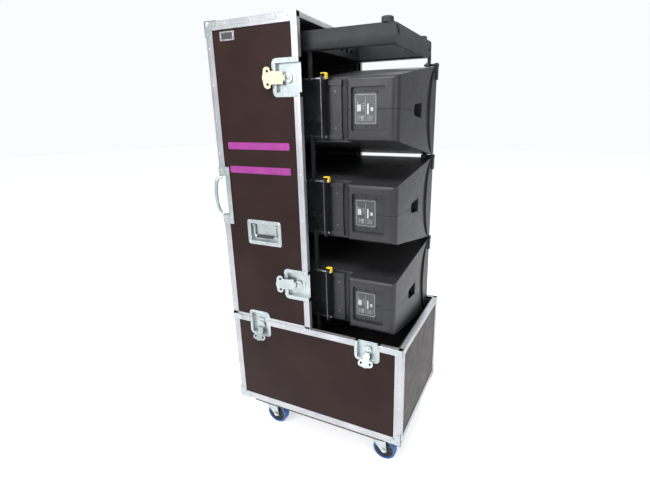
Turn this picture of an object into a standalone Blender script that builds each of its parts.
"""Line array loudspeaker set in a wheeled flight case, one half of its lift-off cover in place.

Metres, +Z up. X runs along the case, -Y is the side with the latches, and the loudspeakers fire to +Y.
The origin is on the floor under the middle of the case.
"""

import bmesh
import bpy
from math import atan2, cos, pi, radians, sin, sqrt
from mathutils import Matrix, Vector

# ---------------------------------------------------------------- driving dimensions
GAP = 0.0003  # between pieces that touch
LET_IN = 0.0005  # joined solids reach this far into each other
PAST = 0.01  # cutters reach this far past the face they open
SHARP = radians(35)  # edges sharper than this stay sharp in the shading

# flight case
CASE_LENGTH = 0.784
CASE_DEPTH = 0.530
BASE_HEIGHT = 0.424
PANEL = 0.0095  # plywood
EDGE_WALL = 0.002  # aluminium profile
EDGE_LEG = 0.030
RIM_LEG = 0.025  # outer leg of the closing profile on the base and on the cover's open side
COVER_RIM_LEG = 0.012  # outer leg of the closing profile under the cover
RIM_STRIP = 0.0019  # closing profile left running on behind the dishes
LINING = 0.018  # foam on the walls
TOP_LINING = 0.008
FLOOR_PAD = 0.006
LINING_SETBACK = 0.012  # foam ends this far below the rim
FOOT_CLEARANCE = 0.0004  # lowest cabinet over the floor pad
HEADROOM = 0.0025  # fly bar's pads under the cover's foam

# castors
CASTOR_HEIGHT = 0.128
CASTOR_BOARD = 0.012
CASTOR_BOARD_INSET = 0.006
CASTOR_X = 0.270
CASTOR_Y = 0.200
CASTOR_PLATE = (0.105, 0.085, 0.003)
PLATE_CORNER = 0.008
WHEEL_RADIUS = 0.050
WHEEL_WIDTH = 0.032
TYRE = 0.011
HUB_RADIUS = 0.014
CASTOR_TRAIL = 0.036
FORK_WALL = 0.003
AXLE_RADIUS = 0.005
AXLE_BOSS = 0.013
AXLE_NUT = (0.009, 0.005)  # radius, height
LEG_SHOULDER = 0.012  # how far a leg widens below the crown
FORK_TAIL = 0.026
WHEEL_CLEARANCE = 0.0025  # wheel to each leg
SWIVEL_HEIGHT = 0.012
SWIVEL_RADIUS = 0.030

# corner pieces
CORNER_REACH = 0.055
CORNER_WALL = 0.0016
CORNER_OVERLAP = 0.001  # how far a riveted corner is let into its profile
CORNER_BALL = 0.016
BALL_SET = 0.55  # ball's middle in from the corner, in its radii, along each axis
BRACE_LENGTH = 0.045
BRACE_WIDTH = 0.024

# latches: (width across, reach on the latch's side, reach on the keeper's side, margin round the recess)
LARGE_DISH = (0.127, 0.111, 0.061, 0.016)
MEDIUM_DISH = (0.105, 0.080, 0.035, 0.0125)
DISH_WALL = 0.0015
DISH_DEPTH = 0.0125
DISH_CORNER = 0.018
COVER_LATCH_Z = (0.7495, 1.518)
BASE_LATCH_X = (-0.250, 0.248)
LARGE_ROTOR_INSET = 0.050  # rotor centre to the parting line
MEDIUM_ROTOR_INSET = 0.034
ROTOR_RADIUS = 0.017
ROTOR_DISC = 0.004
ROTOR_SHAFT = 0.0045
HOOK = (0.026, 0.046, 0.002)  # width, length, thickness
HOOK_DRAW = 0.008
STRIKE = 0.004
WING_HINGE = 0.0115  # rotor centre to the wing's hinge
# wings: (length, span over the lobes, neck, how far the open wing stands off the panel)
MEDIUM_WING = (0.056, 0.062, 0.026, radians(26))
LARGE_WING = (0.080, 0.074, 0.028, radians(18))
WING_WALL = 0.002
WING_BARREL = 0.0024
WING_CLEARANCE = 0.0008  # wing's barrel over the rotor
HINGE_EAR = (0.003, 0.0028, 0.0026)  # width, half height, reach in front of the hinge
HINGE_HALF = 0.008  # from the middle to an ear
WING_LOBE = 0.011
HOOK_TAIL = 0.017  # hook below the rotor's centre

# recessed bow handle in the cover
HANDLE_SIZE = (0.160, 0.102)
HANDLE_CENTRE = (-0.1935, 0.949)  # X, Z
HANDLE_MARGIN = 0.016
BOW_RADIUS = 0.004
GRIP_RADIUS = 0.0055
BOW_HALF_WIDTH = 0.052
BOW_DROP = 0.046
BOW_CORNER = 0.010
BOW_STUB = 0.004  # its pins past the arms
BOW_CLEARANCE = (0.0008, 0.003)  # over the dish's floor, under the recess's top

# handle over the cover's front left corner
CORNER_HANDLE_Z = (0.9725, 1.203)
CORNER_HANDLE_LEG = 0.052
CORNER_HANDLE_END = 0.036  # full part above and below the recess
CORNER_HANDLE_CUT = 0.030  # how far the recess takes the corner back along each face
CORNER_HANDLE_BAR = 0.0065
CORNER_HANDLE_BOW = 0.020  # middle of the bar outside the corner, along the diagonal
CORNER_HANDLE_SET = 0.009  # ends of the bar inside it

# loudspeaker cabinets
CABINETS = 4
CABINET_PITCH = 0.360
FRONT_HALF_HEIGHT = 0.1725
REAR_HALF_HEIGHT = 0.105
HALF_WIDTH = 0.350
REAR_HALF_WIDTH = 0.337
FRONT_Y = 0.225
REAR_Y = -0.212
WEDGE_Y = 0.190  # where the wedge reaches its full height
CHANNEL_Y = -0.165  # rear face between the two pods
POD_INNER_X = 0.1475
POD_OUTER_RADIUS = 0.026
POD_INNER_RADIUS = 0.014
REAR_EDGE_RADIUS = 0.012
SHELL_WALL = 0.006
POD_REAR_WALL = 0.018
BEZEL_ARC_RADIUS = 0.196
BEZEL_ARC_Y = 0.286  # centre of the arc between shells and bezel
ARC_SIDES = 36
ARC_CLEARANCE = 0.001  # shells to bezel
BEZEL_RIM = 0.012
BEZEL_GROOVE = (0.050, 0.008)  # width at mid height and depth of the groove between shells and bezel
GRILLE_WALL = 0.0035
RECESS_X = (0.167, 0.293)
RECESS_HALF_HEIGHT = 0.072
RECESS_DEPTH = 0.011
RECESS_CORNER = 0.008
POCKET_Y = (-0.052, 0.034)
POCKET_HALF_HEIGHT = 0.031
POCKET_DEPTH = 0.034
POCKET_WALL = 0.004

# inside a cabinet
BAFFLE_Y = (0.135, 0.150)
BAFFLE_HALF_HEIGHT = 0.156
BAFFLE_HALF_WIDTH = 0.330
WOOFER_X = 0.207
WOOFER_RADIUS = 0.120
WOOFER_HOLE = 0.108
HORN_MOUTH = (0.070, 0.145)  # half width, half height at the baffle
HORN_THROAT = 0.020
HORN_THROAT_Y = 0.060
HORN_WALL = 0.004
DRIVER_RADIUS = 0.046
DRIVER_LENGTH = 0.070
WOOFER_DEPTH = 0.100
MAGNET_RADIUS = 0.060
MAGNET_HEIGHT = 0.039

# rigging
RIG_X = 0.052
RIG_WALL = 0.004
RIG_REAR_Y = -0.212
RIG_Z = (-0.106, 0.120)
RIG_CORNER = 0.010
PIN_Y = -0.190
PIN_Z = 0.106
PIN_RADIUS = 0.004
COLLAR_RADIUS = 0.0065
PIN_CLEARANCE = 0.0003
PIN_ENDS = (0.004, 0.009)  # tip past a cheek, collar past the other
PIN_HANDLE = (0.016, 0.003, 0.018, 0.021)  # width, wall, height, reach back over the cheek
FIXED_PIN_Z = -0.092
FIXED_PIN_END = 0.003  # past each cheek
LINK_WIDTH = 0.018
LINK_WALL = 0.008
INPUT_PLATE = 0.003
INPUT_STRIP_X = (0.065, 0.113)
INPUT_STRIP = 0.005
INPUT_MARGIN = (0.006, 0.004)  # input plate to the pods, and to the channel's top and bottom
INPUT_STRIP_END = 0.012  # strip to the plate's edge
SOCKET = (0.021, -0.030, 0.013, 0.009)  # X, Z, radius, depth
EAR_X = (0.316, 0.326)
EAR_Y = (0.197, 0.221)
EAR_HEIGHT = 0.0135
EAR_ROOT = 0.020  # how far an ear reaches down the bezel
EAR_CORNER = 0.006

# fly bar
FLY_HALF_LENGTH = 0.324
FLY_Y = (-0.214, 0.220)
FLY_BEAM = (0.040, 0.062)  # depth, height
FLY_PLATE = 0.006
FLY_RISE = 0.195  # its rear lower edge over the middle of the top cabinet
FLY_PITCH = radians(1.5)
FLY_EDGE = 0.005
FLY_PLATE_DROP = 0.004  # end plates below the beams
FLY_LET_IN = 0.020  # lugs reach this far up into the bar
FLY_SPINE = 0.040
FLY_LUG_CLEARANCE = 0.0015
PAD_RADIUS = 0.0195
PAD_HEIGHT = 0.018
PAD_EDGE = 0.003
PAD_X = 0.290

# ---------------------------------------------------------------- worked out from them
half_x = CASE_LENGTH / 2
half_y = CASE_DEPTH / 2
base_bottom = CASTOR_HEIGHT + CASTOR_BOARD
base_top = base_bottom + BASE_HEIGHT
cover_bottom = base_top + GAP
panel_x = half_x - EDGE_WALL - GAP  # outer faces of the panels
panel_y = half_y - EDGE_WALL - GAP
inner_x = panel_x - PANEL
inner_y = panel_y - PANEL
flange_y = -(panel_y + GAP + DISH_WALL)  # front of every dish's flange
dish_floor_y = -panel_y + DISH_DEPTH
rim_flange = EDGE_WALL + GAP + DISH_DEPTH + DISH_WALL + GAP + RIM_STRIP  # leg over a panel's edge
dish_back_y = dish_floor_y + DISH_WALL + GAP  # what makes room for a dish goes back to here
floor_top = base_bottom + EDGE_WALL + GAP + PANEL
lowest_z = floor_top + GAP + FLOOR_PAD + FOOT_CLEARANCE + FRONT_HALF_HEIGHT
cabinet_z = [lowest_z + CABINET_PITCH * n for n in range(CABINETS)][::-1]
fly_z = cabinet_z[0] + FLY_RISE
fly_length = FLY_Y[1] - FLY_Y[0]
pad_reach = fly_length - FLY_BEAM[0] / 2 + PAD_RADIUS  # front edge of the front pads, along the pitched bar
pad_top = fly_z + (FLY_BEAM[1] + PAD_HEIGHT) * cos(FLY_PITCH) + pad_reach * sin(FLY_PITCH)
cover_top = pad_top + HEADROOM + TOP_LINING + GAP + PANEL + GAP + EDGE_WALL


# ---------------------------------------------------------------- scene and materials
def clear_scene():
    for obj in list(bpy.data.objects):
        bpy.data.objects.remove(obj)


def material(name, colour, roughness, metallic=0.0):
    made = bpy.data.materials.new(name)
    made.use_nodes = True
    shader = made.node_tree.nodes["Principled BSDF"]
    shader.inputs["Base Color"].default_value = (*colour, 1.0)
    shader.inputs["Roughness"].default_value = roughness
    shader.inputs["Metallic"].default_value = metallic
    return made


clear_scene()
BROWN = material("brown_phenolic_plywood", (0.040, 0.026, 0.022), 0.45)
BOARD = material("raw_castor_board", (0.05, 0.04, 0.035), 0.7)
ALUMINIUM = material("anodised_aluminium", (0.72, 0.73, 0.76), 0.38, 0.9)
ZINC = material("zinc_plated_steel", (0.66, 0.70, 0.70), 0.30, 1.0)
FOAM = material("black_foam", (0.012, 0.012, 0.013), 0.95)
CABINET = material("black_textured_plastic", (0.030, 0.030, 0.032), 0.55)
GRILLE = material("black_steel_grille", (0.022, 0.022, 0.023), 0.5, 0.3)
BLACK_STEEL = material("black_painted_steel", (0.035, 0.036, 0.040), 0.45, 0.4)
TYRE_BLUE = material("blue_wheel", (0.02, 0.14, 0.50), 0.45)
CONE = material("driver_black", (0.02, 0.02, 0.02), 0.7)
YELLOW = material("yellow_pin_handle", (0.80, 0.58, 0.02), 0.45)


def empty(name, location=(0, 0, 0)):
    made = bpy.data.objects.new(name, None)
    made.location = location
    bpy.context.scene.collection.objects.link(made)
    return made


def node(name, mesh, finish, location=(0, 0, 0), parent=None):
    """One named piece. Its origin is at location, in its parent's frame."""
    if isinstance(mesh, bmesh.types.BMesh):
        mesh = to_mesh(mesh, name)
    obj = bpy.data.objects.new(name, mesh)
    bpy.context.scene.collection.objects.link(obj)
    mesh.materials.clear()
    mesh.materials.append(finish)
    mesh.shade_smooth()
    mesh.set_sharp_from_angle(angle=SHARP)
    obj.location = location
    obj.parent = parent
    return obj


# ---------------------------------------------------------------- shapes
def to_mesh(bm, name):
    bmesh.ops.recalc_face_normals(bm, faces=bm.faces[:])
    mesh = bpy.data.meshes.new(name)
    bm.to_mesh(mesh)
    bm.free()
    return mesh


def box(bm, x, y, z):
    """A closed box between pairs of limits."""
    corners = [bm.verts.new((a, b, c)) for a in x for b in y for c in z]
    for ring in ((0, 1, 3, 2), (4, 6, 7, 5), (0, 4, 5, 1), (2, 3, 7, 6), (0, 2, 6, 4), (1, 5, 7, 3)):
        bm.faces.new([corners[i] for i in ring])


def place(axis, along, u, v):
    """The point at (u, v) in the plane across an axis: X gives (Y, Z), Y gives (X, Z), Z gives (X, Y)."""
    point = [u, v]
    point.insert("XYZ".index(axis), along)
    return point


def prism(bm, outline, axis, low, high):
    """A closed prism of a flat outline, pushed along an axis."""
    ends = [[bm.verts.new(place(axis, at, u, v)) for u, v in outline] for at in (low, high)]
    bm.faces.new(ends[0])
    bm.faces.new(ends[1][::-1])
    for i in range(len(outline)):
        j = (i + 1) % len(outline)
        bm.faces.new((ends[0][i], ends[0][j], ends[1][j], ends[1][i]))


def arc(centre, radius, start, stop, steps):
    """Points of an arc, angles in degrees."""
    turns = [radians(start + (stop - start) * i / steps) for i in range(steps + 1)]
    return [(centre[0] + radius * cos(t), centre[1] + radius * sin(t)) for t in turns]


def rounded(x, y, radius, steps=4):
    """Outline of a rectangle with round corners."""
    (x0, x1), (y0, y1) = x, y
    r = radius
    return (
        arc((x1 - r, y1 - r), r, 0, 90, steps)
        + arc((x0 + r, y1 - r), r, 90, 180, steps)
        + arc((x0 + r, y0 + r), r, 180, 270, steps)
        + arc((x1 - r, y0 + r), r, 270, 360, steps)
    )


def disc(centre, radius, steps):
    return arc(centre, radius, 0, 360 * (steps - 1) / steps, steps - 1)


def rod(bm, axis, centre, radius, low, high, steps=12):
    """A closed cylinder along an axis. centre is in the plane across it."""
    prism(bm, disc(centre, radius, steps), axis, low, high)


def turned(bm, profile, steps, centre=(0, 0, 0), axis="Y"):
    """A closed solid of revolution. profile: (radius, distance along the axis), from end to end."""
    rings = []
    for radius, along in profile:
        if radius == 0:
            rings.append([bm.verts.new(Vector(centre) + Vector(place(axis, along, 0, 0)))])
            continue
        points = disc((0, 0), radius, steps)
        rings.append([bm.verts.new(Vector(centre) + Vector(place(axis, along, u, v))) for u, v in points])
    for a, b in zip(rings, rings[1:]):
        for i in range(steps):
            j = (i + 1) % steps
            corners = [a[i % len(a)], a[j % len(a)], b[j % len(b)], b[i % len(b)]]
            bm.faces.new(list(dict.fromkeys(corners)))


def ring(bm, profile, steps, axis="Y"):
    """A closed solid of revolution whose profile is a loop clear of the axis."""
    rings = []
    for r, along in profile:
        rings.append([bm.verts.new(place(axis, along, u, v)) for u, v in disc((0, 0), r, steps)])
    for a, b in zip(rings, rings[1:] + rings[:1]):
        for i in range(steps):
            j = (i + 1) % steps
            bm.faces.new((a[i], a[j], b[j], b[i]))


def sweep(bm, points, radius, steps=10):
    """A closed round bar through points in order, its ends square."""
    points = [Vector(p) for p in points]
    rings = []
    side = None
    for i, point in enumerate(points):
        along = (points[min(i + 1, len(points) - 1)] - points[max(i - 1, 0)]).normalized()
        if side is None:
            side = along.orthogonal().normalized()
        side = (side - along * side.dot(along)).normalized()
        other = along.cross(side)
        rings.append([bm.verts.new(point + side * u + other * v) for u, v in disc((0, 0), radius, steps)])
    bm.faces.new(rings[0])
    bm.faces.new(rings[-1][::-1])
    for a, b in zip(rings, rings[1:]):
        for i in range(steps):
            j = (i + 1) % steps
            bm.faces.new((a[i], a[j], b[j], b[i]))


def boolean(mesh, operation, bm):
    """The mesh joined with, cut by, or kept inside another closed shape."""
    target = bpy.data.objects.new("target", mesh)
    tool = bpy.data.objects.new("tool", to_mesh(bm, "tool"))
    for obj in (target, tool):
        bpy.context.scene.collection.objects.link(obj)
    modifier = target.modifiers.new("join", "BOOLEAN")
    modifier.operation = operation
    modifier.object = tool
    modifier.solver = "EXACT"
    bpy.context.view_layer.update()
    graph = bpy.context.evaluated_depsgraph_get()
    result = bpy.data.meshes.new_from_object(target.evaluated_get(graph))
    for obj in (target, tool):
        bpy.data.objects.remove(obj)
    return result


def cut(mesh, bm):
    return boolean(mesh, "DIFFERENCE", bm)


def shape(build, *args):
    """A mesh from one of the bmesh builders above."""
    bm = bmesh.new()
    build(bm, *args)
    return to_mesh(bm, build.__name__)


def as_bmesh(mesh):
    bm = bmesh.new()
    bm.from_mesh(mesh)
    return bm


def fresh(*steps):
    """A bmesh holding several shapes: each step is a builder and its arguments."""
    bm = bmesh.new()
    for build, *args in steps:
        build(bm, *args)
    return bm


def union(mesh, bm):
    return boolean(mesh, "UNION", bm)


def hollow(outside, inside, windows=()):
    """A box less its inside, then less each window. Every box is three pairs of limits."""
    mesh = shape(box, *outside)
    for room in (inside, *windows):
        mesh = cut(mesh, fresh((box, *room)))
    return mesh


def mirrored(mesh, axis):
    """The mesh turned over across one axis, faces still pointing out."""
    scale = [1, 1, 1]
    scale["XYZ".index(axis)] = -1
    result = mesh.copy()
    result.transform(Matrix.Diagonal((*scale, 1)))
    result.flip_normals()
    return result


# ---------------------------------------------------------------- case: panels and profiles
def panel_pocket(x, z):
    """Cutter for the recess of a dish: it passes the panel and goes into the foam behind it."""
    return fresh((box, x, (-half_y - PAST, dish_back_y + GAP), z))


def large_recess(z_centre):
    width, reach, _, margin = LARGE_DISH
    return (-reach + margin, -GAP), (z_centre - width / 2 + margin, z_centre + width / 2 - margin)


def medium_recess(x_centre):
    width, reach, _, margin = MEDIUM_DISH
    half = width / 2 - margin
    return (x_centre - half, x_centre + half), (base_top - reach + margin, base_top)


def widened(limits, by):
    return limits[0] - by, limits[1] + by


def front_pockets():
    """Pockets that the dishes need in the cover's front wall and foam."""
    pockets = []
    for z_centre in COVER_LATCH_Z:
        x, z = large_recess(z_centre)
        pockets.append((widened(x, DISH_WALL + GAP), widened(z, DISH_WALL + GAP)))
    x, z = (
        widened((c - size / 2 + HANDLE_MARGIN, c + size / 2 - HANDLE_MARGIN), DISH_WALL + GAP)
        for c, size in zip(HANDLE_CENTRE, HANDLE_SIZE)
    )
    pockets.append((x, z))
    width, _, reach, margin = MEDIUM_DISH
    left = BASE_LATCH_X[0]
    x = widened((left - width / 2 + margin, left + width / 2 - margin), DISH_WALL + GAP)
    pockets.append((x, (cover_bottom - PAST, cover_bottom + reach - margin + DISH_WALL + GAP)))
    return pockets


def corner_handle_cutter(behind=0.0):
    """Takes the cover's front left corner back to the handle's slanted plate, and further by behind."""
    reach = CORNER_HANDLE_CUT + behind * sqrt(2)
    x, y = -half_x - PAST, -half_y - PAST
    outline = [(x, y), (x + reach + 2 * PAST, y), (x, y + reach + 2 * PAST)]
    low, high = widened(CORNER_HANDLE_Z, behind - CORNER_HANDLE_END)
    return fresh((prism, outline, "Z", low, high))


def base_panels():
    low, high = base_bottom + EDGE_WALL + GAP, base_top - EDGE_WALL - GAP
    room = (-inner_x, inner_x), (-inner_y, inner_y), (low + PANEL, high + PAST)
    mesh = hollow(((-panel_x, panel_x), (-panel_y, panel_y), (low, high)), room)
    for x_centre in BASE_LATCH_X:
        x, z = medium_recess(x_centre)
        mesh = cut(mesh, panel_pocket(widened(x, DISH_WALL + GAP), (z[0] - DISH_WALL - GAP, base_top + PAST)))
    node("base_panels", mesh, BROWN)


def cover_panels(parent):
    low, high = cover_bottom + EDGE_WALL + GAP, cover_top - EDGE_WALL - GAP
    right = -EDGE_WALL - GAP
    room = (-inner_x, right + PAST), (-inner_y, inner_y), (low - PAST, high - PANEL)
    mesh = hollow(((-panel_x, right), (-panel_y, panel_y), (low, high)), room)
    for x, z in front_pockets():
        mesh = cut(mesh, panel_pocket(x, z))
    node("cover_panels", cut(mesh, corner_handle_cutter(DISH_WALL + GAP)), BROWN, parent=parent)


def base_edge_profiles():
    """Aluminium edging: bottom and upright edges, closing profile round the rim, riveted corners."""
    outside = (-half_x, half_x), (-half_y, half_y), (base_bottom, base_top)
    window_x, window_y = half_x - EDGE_LEG, half_y - EDGE_LEG
    rim_x, rim_y = half_x - rim_flange, half_y - rim_flange
    window_z = (base_bottom + EDGE_LEG, base_top - RIM_LEG)
    windows = [
        ((-window_x, window_x), (-CASE_DEPTH, CASE_DEPTH), window_z),
        ((-CASE_LENGTH, CASE_LENGTH), (-window_y, window_y), window_z),
        ((-window_x, window_x), (-window_y, window_y), (0, base_bottom + PAST)),
        ((-rim_x, rim_x), (-rim_y, rim_y), (base_top - PAST, base_top + PAST)),
    ]
    width, reach, _, _ = MEDIUM_DISH
    front = (-half_y - PAST, dish_back_y)
    for x_centre in BASE_LATCH_X:
        notch = widened((x_centre - width / 2, x_centre + width / 2), GAP)
        windows.append((notch, front, (base_top - reach - GAP, base_top + PAST)))
    mesh = hollow(outside, [widened(limits, -EDGE_WALL) for limits in outside], windows)
    for sx in (-1, 1):
        for sy in (-1, 1):
            mesh = union(mesh, ball_corner((sx * half_x, sy * half_y, base_bottom), (-sx, -sy, 1)))
            mesh = union(mesh, brace((sx * half_x, sy * half_y, base_top), (-sx, -sy)))
    node("base_edge_profiles", mesh, ALUMINIUM)


def cover_edge_profiles(parent):
    """Edging of the half cover: it closes on the base below and on the other half at X = 0."""
    outside = (-half_x, 0), (-half_y, half_y), (cover_bottom, cover_top)
    window_x = (-half_x + EDGE_LEG, -RIM_LEG)
    window_y = half_y - EDGE_LEG
    window_z = (cover_bottom + COVER_RIM_LEG, cover_top - EDGE_LEG)
    rim_y = half_y - rim_flange
    windows = [
        (window_x, (-CASE_DEPTH, CASE_DEPTH), window_z),
        ((-CASE_LENGTH, -RIM_LEG - PAST), (-window_y, window_y), window_z),
        (window_x, (-window_y, window_y), (cover_top - PAST, cover_top + PAST)),
        ((-PAST, PAST), (-rim_y, rim_y), (cover_bottom - PAST, cover_top - rim_flange)),
        ((-half_x + rim_flange, PAST), (-rim_y, rim_y), (cover_bottom - PAST, cover_bottom + PAST)),
    ]
    front = (-half_y - PAST, dish_back_y)
    for z_centre in COVER_LATCH_Z:
        notch = widened((z_centre - LARGE_DISH[0] / 2, z_centre + LARGE_DISH[0] / 2), GAP)
        windows.append(((-RIM_LEG - PAST, PAST), front, notch))
    keeper = widened((BASE_LATCH_X[0] - MEDIUM_DISH[0] / 2, BASE_LATCH_X[0] + MEDIUM_DISH[0] / 2), GAP)
    windows.append((keeper, front, (cover_bottom - PAST, cover_bottom + COVER_RIM_LEG + PAST)))
    beside_handle = [(-half - PAST, -half + EDGE_LEG + LET_IN) for half in (half_x, half_y)]
    windows.append((*beside_handle, widened(CORNER_HANDLE_Z, GAP)))
    mesh = hollow(outside, [widened(limits, -EDGE_WALL) for limits in outside], windows)
    for sy in (-1, 1):
        mesh = union(mesh, ball_corner((-half_x, sy * half_y, cover_top), (1, -sy, -1)))
        face = sorted(sy * (half_y + by) for by in (-CORNER_OVERLAP, CORNER_WALL))
        for length, drop in ((BRACE_LENGTH, BRACE_WIDTH), (BRACE_WIDTH, BRACE_LENGTH)):
            mesh = union(mesh, fresh((box, (-length, -GAP), face, (cover_top - drop, cover_top - GAP))))
    node("cover_edge_profiles", mesh, ALUMINIUM, parent=parent)


def ball_corner(corner, inward):
    """A pressed corner: three leaves and a ball at the point. inward: signs that lead into the case."""
    low = [c - s * CORNER_WALL for c, s in zip(corner, inward)]
    high = [c + s * CORNER_REACH for c, s in zip(corner, inward)]
    leaves = shape(box, *[sorted(pair) for pair in zip(low, high)])
    reach = bmesh.new()
    at_corner = Matrix.Translation(corner)
    bmesh.ops.create_icosphere(reach, subdivisions=2, radius=CORNER_REACH, matrix=at_corner)
    leaves = boolean(leaves, "INTERSECT", reach)
    ball = bmesh.new()
    inside_it = Matrix.Translation([c + s * CORNER_BALL * BALL_SET for c, s in zip(corner, inward)])
    bmesh.ops.create_icosphere(ball, subdivisions=1, radius=CORNER_BALL, matrix=inside_it)
    leaves = union(leaves, ball)
    far = 2 * CORNER_REACH
    inside = [sorted((c + s * CORNER_OVERLAP, c + s * far)) for c, s in zip(corner, inward)]
    return as_bmesh(cut(leaves, fresh((box, *inside))))


def brace(corner, inward):
    """A flat steel brace bent round an upright edge, just under the rim."""
    outer = [sorted((c - s * CORNER_WALL, c + s * BRACE_LENGTH)) for c, s in zip(corner, inward)]
    far = 2 * BRACE_LENGTH
    inner = [sorted((c + s * CORNER_OVERLAP, c + s * far)) for c, s in zip(corner, inward)]
    tall = (corner[2] - BRACE_WIDTH, corner[2] - GAP)
    return as_bmesh(hollow((*outer, tall), (*inner, widened(tall, PAST))))


def base_lining():
    low = floor_top + GAP
    high = base_top - LINING_SETBACK
    x, y = inner_x - GAP, inner_y - GAP
    room = widened((-x, x), -LINING), widened((-y, y), -LINING), (low + FLOOR_PAD, high + PAST)
    mesh = hollow(((-x, x), (-y, y), (low, high)), room)
    for x_centre in BASE_LATCH_X:
        px, pz = medium_recess(x_centre)
        mesh = cut(mesh, panel_pocket(widened(px, DISH_WALL + GAP), (pz[0] - DISH_WALL - GAP, base_top)))
    node("base_lining", mesh, FOAM)


def cover_lining(parent):
    low = cover_bottom + EDGE_WALL + LINING_SETBACK
    high = cover_top - EDGE_WALL - PANEL - 2 * GAP
    x, y, right = inner_x - GAP, inner_y - GAP, -LINING_SETBACK
    room = (-x + LINING, right + PAST), widened((-y, y), -LINING), (low - PAST, high - TOP_LINING)
    mesh = hollow(((-x, right), (-y, y), (low, high)), room)
    for px, pz in front_pockets():
        mesh = cut(mesh, panel_pocket(px, pz))
    node("cover_lining", cut(mesh, corner_handle_cutter(DISH_WALL + 2 * GAP)), FOAM, parent=parent)


# ---------------------------------------------------------------- dishes, latches and handles
def dish(outline, recess, floor_open):
    """A pressed dish: a flange on the wall and a sunk tray, without a tray wall on the floor_open side."""
    bm = bmesh.new()
    prism(bm, outline, "Y", flange_y, flange_y + DISH_WALL)
    made = to_mesh(bm, "dish")
    (x0, x1), (z0, z1) = recess
    tray_y = (flange_y + DISH_WALL / 2, dish_floor_y + DISH_WALL)
    made = union(made, fresh((box, widened((x0, x1), DISH_WALL), tray_y, widened((z0, z1), DISH_WALL))))
    open_x = (x0, x1 + 2 * PAST) if floor_open == "right" else (x0, x1)
    open_z = {"up": (z0, z1 + 2 * PAST), "down": (z0 - 2 * PAST, z1)}.get(floor_open, (z0, z1))
    made = cut(made, fresh((box, open_x, (flange_y - PAST, dish_floor_y), open_z)))
    # trim the tray at the parting line
    around = widened((x0, x1), PAST), (-half_y - PAST, 0), widened((z0, z1), PAST)
    if floor_open == "right":
        made = cut(made, fresh((box, (-GAP, PAST), *around[1:])))
    if floor_open == "up":
        made = cut(made, fresh((box, *around[:2], (base_top - GAP, base_top + PAST))))
    if floor_open == "down":
        made = cut(made, fresh((box, *around[:2], (cover_bottom - PAST, cover_bottom + GAP))))
    return made


def one_side_square(x, z, radius, square):
    """Outline of a rectangle with two round corners, square on the parting side."""
    (x0, x1), (z0, z1) = x, z
    r = radius
    if square == "right":
        start, first, second = [(x1, z0), (x1, z1)], (x0 + r, z1 - r, 90), (x0 + r, z0 + r, 180)
    elif square == "up":
        start, first, second = [(x1, z1), (x0, z1)], (x0 + r, z0 + r, 180), (x1 - r, z0 + r, 270)
    else:
        start, first, second = [(x0, z0), (x1, z0)], (x1 - r, z1 - r, 0), (x0 + r, z1 - r, 90)
    for u, v, turn in (first, second):
        start += arc((u, v), r, turn, turn + 90, 4)
    return start


def base_latch_dishes():
    width, reach, _, _ = MEDIUM_DISH
    for side, x_centre in zip(("left", "right"), BASE_LATCH_X):
        x = (x_centre - width / 2, x_centre + width / 2)
        outline = one_side_square(x, (base_top - reach, base_top - GAP), DISH_CORNER, "up")
        node(f"base_latch_{side}_dish", dish(outline, medium_recess(x_centre), "up"), ZINC)


def cover_latch_dishes(parent):
    width, reach, _, _ = LARGE_DISH
    for level, z_centre in zip(("lower", "upper"), COVER_LATCH_Z):
        z = (z_centre - width / 2, z_centre + width / 2)
        outline = one_side_square((-reach, -GAP), z, DISH_CORNER, "right")
        node(f"cover_latch_{level}_dish", dish(outline, large_recess(z_centre), "right"), ZINC, parent=parent)


def cover_keeper_dish(parent):
    """Recessed strike over the left base latch, with the bar that the hook draws down on."""
    width, _, reach, margin = MEDIUM_DISH
    x_centre = BASE_LATCH_X[0]
    x = (x_centre - width / 2, x_centre + width / 2)
    z = (cover_bottom + GAP, cover_bottom + reach)
    recess = (x[0] + margin, x[1] - margin), (cover_bottom, z[1] - margin)
    mesh = dish(one_side_square(x, z, DISH_CORNER, "down"), recess, "down")
    half = HOOK[0] / 2
    strike = (x_centre - half, x_centre + half), (dish_floor_y - STRIKE, dish_floor_y + GAP)
    mesh = union(mesh, fresh((box, *strike, (recess[1][1] - 2 * STRIKE, recess[1][1] - STRIKE))))
    node("cover_keeper_dish", mesh, ZINC, parent=parent)


def wing_mesh(size):
    """Butterfly plate about its hinge, built along -Z and then tilted off the panel."""
    tip, span, neck, tilt = size
    lobe, half, root = WING_LOBE, span / 2, HINGE_HALF - GAP
    right = [(root, 0.0), (root, -0.006), (neck / 2, -0.009), (neck / 2, -tip + 0.030)]
    right += [(half - lobe * 0.2, -tip + 0.026)]
    right += arc((half - lobe, -tip + lobe + 0.004), lobe, 45, -90, 5) + [(0.006, -tip)]
    outline = right + [(-x, z) for x, z in right[::-1]]
    wing = shape(prism, outline, "Y", -WING_WALL / 2, WING_WALL / 2)
    wing = union(wing, fresh((rod, "X", (0, 0), WING_BARREL, -root, root, 12)))
    wing.transform(Matrix.Rotation(-tilt, 4, "X"))
    return wing


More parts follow.
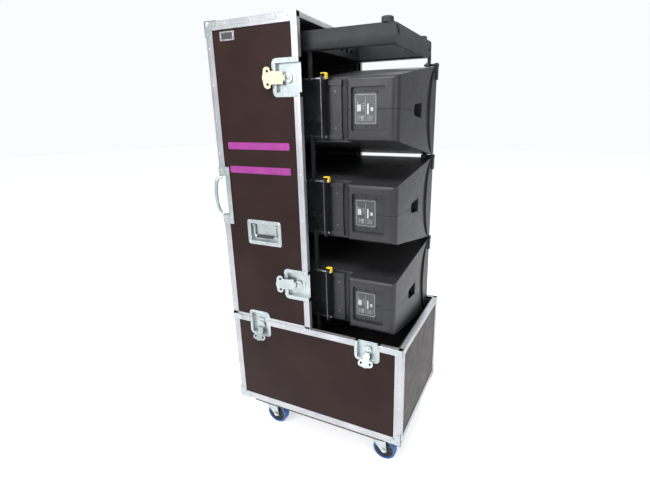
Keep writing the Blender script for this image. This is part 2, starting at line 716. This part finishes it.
def latch_piece_meshes():
    """Rotor and hook about the rotor's centre: -Y is out of the panel, -Z away from the keeper."""
    hook_face = -GAP - HOOK[2]
    disc_face = hook_face - GAP - ROTOR_DISC
    hinge_y = disc_face - WING_BARREL - WING_CLEARANCE
    rotor = fresh((rod, "Y", (0, 0), ROTOR_RADIUS, disc_face, hook_face - GAP, 20))
    shaft = fresh((rod, "Y", (0, 0), ROTOR_SHAFT, hook_face - GAP - LET_IN, -GAP, 12))
    rotor = union(to_mesh(rotor, "rotor"), shaft)
    width, rise, reach = HINGE_EAR
    for side in (-1, 1):
        x = sorted(side * (HINGE_HALF + GAP + by) for by in (0, width))
        ear = (box, x, (hinge_y - reach, disc_face + LET_IN), widened((-WING_HINGE, -WING_HINGE), rise))
        rotor = union(rotor, fresh(ear))
    width, length, _ = HOOK
    hook = shape(box, (-width / 2, width / 2), (hook_face, -GAP), (-HOOK_TAIL, length - HOOK_TAIL))
    reach = ROTOR_SHAFT + GAP
    slot = widened((0, 0), reach), (hook_face - PAST, PAST), widened((0, HOOK_DRAW), reach)
    hook = cut(hook, fresh((box, *slot)))
    return rotor, hook, hinge_y


def latches(cover):
    rotor, hook, hinge_y = latch_piece_meshes()
    medium, large = wing_mesh(MEDIUM_WING), wing_mesh(LARGE_WING)
    spots = []
    for name, x in zip(("base_latch_left", "base_latch_right"), BASE_LATCH_X):
        spots.append((name, (x, dish_floor_y, base_top - MEDIUM_ROTOR_INSET), 0, medium, None))
    for name, z in zip(("cover_latch_lower", "cover_latch_upper"), COVER_LATCH_Z):
        spots.append((name, (-LARGE_ROTOR_INSET, dish_floor_y, z), 90, large, cover))
    for name, centre, turn, wing, parent in spots:
        pivot = empty(name + "_axis", centre)
        pivot.rotation_euler = (0, radians(turn), 0)
        pivot.parent = parent
        node(name + "_rotor", rotor, ZINC, parent=pivot)
        node(name + "_hook", hook, ZINC, parent=pivot)
        node(name + "_wing", wing, ZINC, (0, hinge_y, -WING_HINGE), pivot)


def cover_handle(parent):
    x, z = ((c - size / 2, c + size / 2) for c, size in zip(HANDLE_CENTRE, HANDLE_SIZE))
    recess = widened(x, -HANDLE_MARGIN), widened(z, -HANDLE_MARGIN)
    node("cover_handle_dish", dish(rounded(x, z, 0.010), recess, None), ZINC, parent=parent)
    # bow: two arms and a cross bar with a fatter grip, about its pivot
    corner, arm, drop = BOW_CORNER, BOW_HALF_WIDTH, BOW_DROP
    right = [(arm, 0.0)] + arc((arm - corner, -drop + corner), corner, 0, -90, 3)
    path = [(x, 0, z) for x, z in right + [(-x, z) for x, z in right[::-1]]]
    bow = shape(sweep, path, BOW_RADIUS, 8)
    for side in (-1, 1):
        ends = sorted((side * (arm - BOW_RADIUS), side * (arm + BOW_RADIUS + BOW_STUB)))
        bow = union(bow, fresh((rod, "X", (0, 0), BOW_RADIUS * 1.02, *ends, 8)))
    grip = arm - corner - 0.002
    bow = union(bow, fresh((rod, "X", (0, -drop), GRIP_RADIUS, -grip, grip, 10)))
    pivot_y = dish_floor_y - GRIP_RADIUS - BOW_CLEARANCE[0]
    pivot = (HANDLE_CENTRE[0], pivot_y, recess[1][1] - BOW_RADIUS - BOW_CLEARANCE[1])
    node("cover_handle_bow", bow, ZINC, pivot, parent)


def corner_handle(parent):
    """A plate round the cover's front left corner, with a recess across the corner and a bowed bar."""
    low, high = CORNER_HANDLE_Z
    wall = CORNER_WALL
    legs = CORNER_HANDLE_LEG
    corner = (-half_x, -half_y)
    outer = [(c - wall, c + legs) for c in corner]
    inner = [(c, c + legs + PAST) for c in corner]
    plate = hollow((*outer, (low, high)), (*inner, widened((low, high), PAST)))
    plate = cut(plate, corner_handle_cutter())
    # slanted plate across the recess, with its top and bottom
    z0, z1 = widened(CORNER_HANDLE_Z, -CORNER_HANDLE_END)
    x, y = (c - wall / 2 for c in corner)
    reach = CORNER_HANDLE_CUT + wall
    front = [(x, y + reach), (x + reach, y)]
    shift = DISH_WALL / sqrt(2)
    back = [(u + shift, v + shift) for u, v in front[::-1]]
    plate = union(plate, fresh((prism, front + back, "Z", z0 - DISH_WALL, z1 + DISH_WALL)))
    for level in ((z0 - DISH_WALL, z0), (z1, z1 + DISH_WALL)):
        cap = [(x, y), *[(u - shift / 2, v - shift / 2) for u, v in back]]
        plate = union(plate, fresh((prism, cap, "Z", *level)))
    # bowed bar with both straight ends set into the caps
    steps = 8
    low, high = z0 + CORNER_HANDLE_BAR, z1 - CORNER_HANDLE_BAR
    bar = []
    for i in range(steps + 1):
        t = i / steps
        off = ((CORNER_HANDLE_BOW + CORNER_HANDLE_SET) * sin(pi * t) ** 1.5 - CORNER_HANDLE_SET) / sqrt(2)
        bar.append((-half_x - off, -half_y - off, low + (high - low) * t))
    bar.insert(0, (*bar[0][:2], z0 - LET_IN))
    bar.append((*bar[-1][:2], z1 + LET_IN))
    plate = union(plate, fresh((sweep, bar, CORNER_HANDLE_BAR, 8)))
    node("cover_corner_handle", plate, ZINC, parent=parent)


# ---------------------------------------------------------------- castors
def castor_board():
    """Board under the base, cut off at its corners to clear the ball corners, with the castor plates."""
    x, y = half_x - CASTOR_BOARD_INSET, half_y - CASTOR_BOARD_INSET
    short = CORNER_REACH * sqrt(2) + CORNER_WALL - CASTOR_BOARD_INSET
    short_x, short_y = half_x - short, half_y - short
    right = [(short_x, -y), (x, -short_y), (x, short_y), (short_x, y)]
    outline = right + [(-u, v) for u, v in right[::-1]]
    mesh = shape(prism, outline, "Z", CASTOR_HEIGHT, base_bottom - GAP)
    length, depth, wall = CASTOR_PLATE
    for _, x, y in castor_spots():
        across = widened((x, x), length / 2), widened((y, y), depth / 2)
        plate = (prism, rounded(*across, PLATE_CORNER, 3), "Z", CASTOR_HEIGHT - wall, CASTOR_HEIGHT + wall)
        mesh = union(mesh, fresh(plate))
    node("castor_board", mesh, BOARD)


def castor_spots():
    for sy, row in ((-1, "front"), (1, "rear")):
        for sx, side in ((-1, "left"), (1, "right")):
            yield f"castor_{row}_{side}", sx * CASTOR_X, sy * CASTOR_Y


def castors():
    # fork: swivel head, crown and two legs, about the swivel axis at the axle's height
    head_top = CASTOR_HEIGHT - CASTOR_PLATE[2] - GAP - WHEEL_RADIUS
    crown = head_top - SWIVEL_HEIGHT
    leg_in = WHEEL_WIDTH / 2 + WHEEL_CLEARANCE
    rear, front = -FORK_TAIL, CASTOR_TRAIL * 0.9
    fork = shape(rod, "Z", (0, 0), SWIVEL_RADIUS, crown - FORK_WALL, head_top, 16)
    half_leg = leg_in + FORK_WALL
    top_plate = (rear, front), (-half_leg, half_leg), (crown - FORK_WALL - LET_IN, crown)
    fork = union(fork, fresh((box, *top_plate)))
    side = [(rear, crown), (rear, crown - LEG_SHOULDER)] + arc((CASTOR_TRAIL, 0), AXLE_BOSS, 200, 350, 6)
    side += [(front + LEG_SHOULDER, crown - LEG_SHOULDER), (front, crown)]
    for sy in (-1, 1):
        fork = union(fork, fresh((prism, side, "Y", *sorted((sy * leg_in, sy * half_leg)))))
        ends = sorted((sy * (half_leg - LET_IN), sy * (half_leg + AXLE_NUT[1])))
        fork = union(fork, fresh((rod, "Y", (CASTOR_TRAIL, 0), AXLE_NUT[0], *ends, 6)))
    axle = widened((-leg_in, leg_in), LET_IN)
    fork = union(fork, fresh((rod, "Y", (CASTOR_TRAIL, 0), AXLE_RADIUS, *axle, 12)))

    # wheel about its axle: hub, dished core and tyre in one section
    half = WHEEL_WIDTH / 2
    tyre_in = WHEEL_RADIUS - TYRE
    section = [(AXLE_RADIUS + GAP, -half), (HUB_RADIUS, -half), (HUB_RADIUS + 0.002, -half * 0.5)]
    section += [(tyre_in - 0.003, -half * 0.5), (tyre_in + 0.002, -half), (WHEEL_RADIUS, -half * 0.4)]
    wheel = shape(ring, section + [(r, -y) for r, y in section[::-1]], 16)
    for name, x, y in castor_spots():
        swivel = empty(name + "_axis", (x, y, WHEEL_RADIUS))
        node(name + "_fork", fork, ZINC, parent=swivel)
        node(name + "_wheel", wheel, TYRE_BLUE, (CASTOR_TRAIL, 0, 0), swivel)


# ---------------------------------------------------------------- loudspeaker cabinets
def plan_outline(inset=0.0, rear_inset=0.0, front=FRONT_Y):
    """Cabinet seen from above: two pods and a channel between. Insets move walls and rear inwards."""
    rear, channel = REAR_Y + rear_inset, CHANNEL_Y + inset
    inner, outer, wide = POD_INNER_X + inset, REAR_HALF_WIDTH - inset, HALF_WIDTH - inset
    r_out, r_in = max(POD_OUTER_RADIUS - inset, 0.004), max(POD_INNER_RADIUS - inset, 0.003)
    right = [(inner, channel)]
    right += arc((inner + r_in, rear + r_in), r_in, 180, 270, 2)
    right += arc((outer - r_out, rear + r_out), r_out, 270, 360, 3)
    right += [(wide, WEDGE_Y), (wide, front)]
    return right + [(-x, y) for x, y in right[::-1]]


def side_outline(inset=0.0, front=FRONT_Y, low=0.0):
    """Upper half of the cabinet seen from the side."""
    rise = (FRONT_HALF_HEIGHT - REAR_HALF_HEIGHT) / (WEDGE_Y - REAR_Y)
    slope = atan2(rise, 1)
    rear, top = REAR_Y, REAR_HALF_HEIGHT - inset
    r = REAR_EDGE_RADIUS - min(inset, REAR_EDGE_RADIUS - 0.003)
    edge = arc((rear + r, top - r), r, 180, 90 + slope * 180 / pi, 2)
    high = FRONT_HALF_HEIGHT - inset
    return [(rear, low)] + edge + [(WEDGE_Y, high), (front, high), (front, low)]


def upper_shell():
    """Moulded upper half, open below at the seam and in front. The lower half is its mirror image."""
    seam = GAP / 2
    across = widened((-HALF_WIDTH, HALF_WIDTH), PAST)
    shell = shape(prism, plan_outline(), "Z", seam, FRONT_HALF_HEIGHT + PAST)
    shell = boolean(shell, "INTERSECT", fresh((prism, side_outline(low=seam), "X", *across)))

    front = FRONT_Y + PAST
    inner = shape(prism, plan_outline(SHELL_WALL, POD_REAR_WALL, front), "Z", -PAST, FRONT_HALF_HEIGHT)
    inner = boolean(inner, "INTERSECT", fresh((prism, side_outline(SHELL_WALL, front, -PAST), "X", *across)))
    low = -2 * PAST
    for side in (-1, 1):
        x = sorted((side * (HALF_WIDTH - POCKET_DEPTH - POCKET_WALL), side * (HALF_WIDTH + PAST)))
        z = (low, POCKET_HALF_HEIGHT + POCKET_WALL)
        inner = cut(inner, fresh((box, x, widened(POCKET_Y, POCKET_WALL), z)))
    shell = cut(shell, as_bmesh(inner))

    for side in (-1, 1):
        x = sorted((side * (HALF_WIDTH - POCKET_DEPTH), side * (HALF_WIDTH + PAST)))
        shell = cut(shell, fresh((box, x, POCKET_Y, (low, POCKET_HALF_HEIGHT))))
        x = sorted((side * RECESS_X[0], side * RECESS_X[1]))
        outline = rounded(x, widened((0, 0), RECESS_HALF_HEIGHT), RECESS_CORNER, 1)
        shell = cut(shell, fresh((prism, outline, "Y", REAR_Y - PAST, REAR_Y + RECESS_DEPTH)))
    arched = BEZEL_ARC_RADIUS + ARC_CLEARANCE
    return cut(shell, fresh((rod, "X", (BEZEL_ARC_Y, 0), arched, *across, ARC_SIDES)))


def front_frame():
    """Front bezel whose cheeks follow the arc, the grille across it, and two link ears on its upper edge."""
    rear = BEZEL_ARC_Y - BEZEL_ARC_RADIUS - PAST
    outside = (-HALF_WIDTH, HALF_WIDTH), (rear, FRONT_Y), (-FRONT_HALF_HEIGHT, FRONT_HALF_HEIGHT)
    across = widened((-HALF_WIDTH, HALF_WIDTH), PAST)
    width, depth = BEZEL_GROOVE
    # flatter arc that meets the shells' own at the upper and lower corners
    corner = BEZEL_ARC_Y - sqrt(BEZEL_ARC_RADIUS**2 - FRONT_HALF_HEIGHT**2)
    rise = corner - (BEZEL_ARC_Y - BEZEL_ARC_RADIUS + width)
    flatter = (rise**2 + FRONT_HALF_HEIGHT**2) / (2 * rise)
    arched = fresh((rod, "X", (corner - rise + flatter, 0), flatter, *across, 2 * ARC_SIDES))
    mesh = boolean(shape(box, *outside), "INTERSECT", arched)
    neck = shape(box, widened(outside[0], -depth), (rear, FRONT_Y - depth), widened(outside[2], -depth))
    arched = fresh((rod, "X", (BEZEL_ARC_Y, 0), BEZEL_ARC_RADIUS, *across, ARC_SIDES))
    mesh = union(mesh, as_bmesh(boolean(neck, "INTERSECT", arched)))
    x, z = HALF_WIDTH - BEZEL_RIM, FRONT_HALF_HEIGHT - BEZEL_RIM
    mesh = cut(mesh, fresh((box, (-x, x), (0, FRONT_Y - GRILLE_WALL), (-z, z))))
    top = FRONT_HALF_HEIGHT + EAR_HEIGHT
    for side in (-1, 1):
        ear_x = sorted(side * x for x in EAR_X)
        ear = rounded(EAR_Y, (FRONT_HALF_HEIGHT - EAR_ROOT, top), EAR_CORNER, 2)
        mesh = union(mesh, fresh((prism, ear, "X", *ear_x)))
    return mesh


def horn_flare(grow, start, stop):
    """Square throat widening to the mouth, as a closed solid."""
    bm = bmesh.new()
    rings = []
    for y, (a, b) in ((start, (HORN_THROAT, HORN_THROAT)), (stop, HORN_MOUTH)):
        corners = ((-1, -1), (1, -1), (1, 1), (-1, 1))
        rings.append([bm.verts.new((sx * (a + grow), y, sz * (b + grow))) for sx, sz in corners])
    bm.faces.new(rings[0])
    bm.faces.new(rings[1][::-1])
    for i in range(4):
        j = (i + 1) % 4
        bm.faces.new((rings[0][i], rings[0][j], rings[1][j], rings[1][i]))
    return bm


def drive_units():
    """Baffle board with the horn through its middle, its compression driver and a woofer on each side."""
    y0, y1 = BAFFLE_Y
    x, z = BAFFLE_HALF_WIDTH, BAFFLE_HALF_HEIGHT
    mesh = shape(box, (-x, x), BAFFLE_Y, (-z, z))
    mesh = union(mesh, horn_flare(HORN_WALL, HORN_THROAT_Y, y1 - LET_IN))
    mesh = cut(mesh, horn_flare(0, HORN_THROAT_Y - LET_IN, y1 + LET_IN))
    end = HORN_THROAT_Y + LET_IN
    shoulder = end - DRIVER_LENGTH * 0.75
    back = end - DRIVER_LENGTH
    driver = [(0, back), (DRIVER_RADIUS * 0.75, back), (DRIVER_RADIUS, shoulder)]
    driver += [(DRIVER_RADIUS, end - 0.008), (0.030, end - 0.006), (0.030, end), (0, end)]
    mesh = union(mesh, fresh((turned, driver, 12)))
    rim = y1 - LET_IN
    back = y0 - WOOFER_DEPTH
    woofer = [(0, back), (MAGNET_RADIUS, back), (MAGNET_RADIUS, back + MAGNET_HEIGHT)]
    woofer += [(WOOFER_HOLE, y0 + LET_IN), (WOOFER_HOLE, rim)]
    woofer += [(WOOFER_RADIUS, rim), (WOOFER_RADIUS, y1 + 0.005), (WOOFER_RADIUS - 0.014, y1 + 0.007)]
    woofer += [(WOOFER_RADIUS - 0.026, y1 + 0.002), (0.034, y0 - 0.031), (0.020, y0 - 0.023), (0, y0 - 0.020)]
    for side in (-1, 1):
        hole = (rod, "Y", (side * WOOFER_X, 0), WOOFER_HOLE - 0.006, y0 - PAST, y1 + PAST, 12)
        mesh = cut(mesh, fresh(hole))
        mesh = union(mesh, fresh((turned, woofer, 14, (side * WOOFER_X, 0, 0))))
    return mesh


def rear_rigging():
    """Input plate between the pods with its cover strips and sockets, two side cheeks and their fixed pin."""
    back = CHANNEL_Y - GAP
    face = back - INPUT_PLATE
    x, z = (size - margin for size, margin in zip((POD_INNER_X, REAR_HALF_HEIGHT), INPUT_MARGIN))
    mesh = shape(prism, rounded((-x, x), (-z, z), INPUT_MARGIN[0], 2), "Y", face, back)
    for side in (-1, 1):
        strip_z = widened((-z, z), -INPUT_STRIP_END)
        strip = sorted(side * x for x in INPUT_STRIP_X), (face - INPUT_STRIP, face + LET_IN), strip_z
        mesh = union(mesh, fresh((box, *strip)))
        x, z_socket, radius, depth = SOCKET
        mesh = union(mesh, fresh((rod, "Y", (side * x, z_socket), radius, face - depth, face + LET_IN, 10)))
        corner = RIG_CORNER
        z0, z1 = RIG_Z
        outline = [(face + LET_IN, z0), (face + LET_IN, z1)]
        outline += arc((RIG_REAR_Y + corner, z1 - corner), corner, 90, 180, 2)
        outline += arc((RIG_REAR_Y + corner, z0 + corner), corner, 180, 270, 2)
        cheek = shape(prism, outline, "X", *widened((side * RIG_X, side * RIG_X), RIG_WALL / 2))
        hole = (rod, "X", (PIN_Y, PIN_Z), PIN_RADIUS + PIN_CLEARANCE, -2 * RIG_X, 2 * RIG_X, 12)
        mesh = union(mesh, as_bmesh(cut(cheek, fresh(hole))))
    reach = RIG_X + RIG_WALL / 2 + FIXED_PIN_END
    mesh = union(mesh, fresh((rod, "X", (PIN_Y, FIXED_PIN_Z), PIN_RADIUS, -reach, reach, 8)))
    return mesh


def link_bar(top, bottom):
    """Flat bar at X = 0 from a pin above to the quick pin of the cabinet below, with that pin's hole."""
    half = LINK_WIDTH / 2
    outline = arc((PIN_Y, top), half, 0, 180, 4) + arc((PIN_Y, bottom), half, 180, 360, 4)
    bar = shape(prism, outline, "X", -LINK_WALL / 2, LINK_WALL / 2)
    hole = (rod, "X", (PIN_Y, bottom), PIN_RADIUS + PIN_CLEARANCE, -LINK_WALL, LINK_WALL, 12)
    return as_bmesh(cut(bar, fresh(hole)))


def quick_pin():
    """Quick-release pin about its own axis: shank, collar and a bent yellow handle."""
    reach = RIG_X + RIG_WALL / 2
    tip, collar = PIN_ENDS
    width, wall, high, back = PIN_HANDLE
    mesh = shape(rod, "X", (0, 0), PIN_RADIUS, -reach - tip, reach + tip, 14)
    mesh = union(mesh, fresh((rod, "X", (0, 0), COLLAR_RADIUS, reach + GAP, reach + collar, 14)))
    side = (-width / 2, width / 2)
    outer = reach + collar - 0.001 + wall
    mesh = union(mesh, fresh((box, (outer - wall, outer), side, (-0.002, high))))
    return union(mesh, fresh((box, (outer - back, outer - LET_IN), side, (high - wall, high - 0.0001))))


def array():
    upper = upper_shell()
    lower = mirrored(upper, "Z")
    frame, drivers, pin = front_frame(), drive_units(), quick_pin()
    linked = union(rear_rigging(), link_bar(FIXED_PIN_Z, PIN_Z - CABINET_PITCH))
    for n, z in enumerate(cabinet_z, 1):
        here = (0, 0, z)
        node(f"cabinet_{n}_upper_shell", upper, CABINET, here)
        node(f"cabinet_{n}_lower_shell", lower, CABINET, here)
        node(f"cabinet_{n}_front_frame", frame, GRILLE, here)
        node(f"cabinet_{n}_drive_units", drivers, CONE, here)
        lowest = n == CABINETS
        node(f"cabinet_{n}_rear_rigging", rear_rigging() if lowest else linked, BLACK_STEEL, here)
        node(f"cabinet_{n}_quick_pin", pin, YELLOW, (0, PIN_Y, z + PIN_Z))


# ---------------------------------------------------------------- fly bar
def fly_bar():
    """Beams, end plates and spine, pitched about the rear lower edge, with the parts that hang from it."""
    depth, height = FLY_BEAM
    length = fly_length
    x = FLY_HALF_LENGTH - FLY_PLATE + LET_IN
    beams = [rounded(y, (0, height), FLY_EDGE, 1) for y in ((0, depth), (length - depth, length))]
    mesh = union(shape(prism, beams[0], "X", -x, x), fresh((prism, beams[1], "X", -x, x)))
    for side in (-1, 1):
        ends = sorted((side * (FLY_HALF_LENGTH - FLY_PLATE), side * FLY_HALF_LENGTH))
        outline = rounded((0, length), (-FLY_PLATE_DROP, height - FLY_PLATE_DROP / 2), 2 * FLY_EDGE, 2)
        mesh = union(mesh, fresh((prism, outline, "X", *ends)))
        pad = [(0, -LET_IN), (PAD_RADIUS, -LET_IN), (PAD_RADIUS, PAD_HEIGHT - PAD_EDGE)]
        pad += [(PAD_RADIUS - PAD_EDGE, PAD_HEIGHT), (0, PAD_HEIGHT)]
        for y in (depth / 2, length - depth / 2):
            mesh = union(mesh, fresh((turned, pad, 14, (side * PAD_X, y, height), "Z")))
    along = (depth - LET_IN, length - depth + LET_IN)
    mesh = union(mesh, fresh((box, (-FLY_SPINE / 2, FLY_SPINE / 2), along, widened((0, height), -FLY_EDGE))))
    mesh.transform(Matrix.Translation((0, FLY_Y[0], fly_z)) @ Matrix.Rotation(FLY_PITCH, 4, "X"))
    # link bar down to the first cabinet's quick pin, and lugs over its link ears
    mesh = union(mesh, link_bar(fly_z + FLY_LET_IN / 2, cabinet_z[0] + PIN_Z))
    ear_top = cabinet_z[0] + FRONT_HALF_HEIGHT + EAR_HEIGHT
    for side in (-1, 1):
        lug = sorted(side * x for x in EAR_X), (EAR_Y[0], FLY_Y[1] - FLY_EDGE)
        mesh = union(mesh, fresh((box, *lug, (ear_top + FLY_LUG_CLEARANCE, fly_z + FLY_LET_IN))))
    node("fly_bar", mesh, BLACK_STEEL)


# ---------------------------------------------------------------- everything
def main():
    cover = empty("cover")
    base_panels()
    base_edge_profiles()
    base_lining()
    base_latch_dishes()
    castor_board()
    castors()
    cover_panels(cover)
    cover_edge_profiles(cover)
    cover_lining(cover)
    cover_latch_dishes(cover)
    cover_keeper_dish(cover)
    cover_handle(cover)
    corner_handle(cover)
    latches(cover)
    fly_bar()
    array()


main()
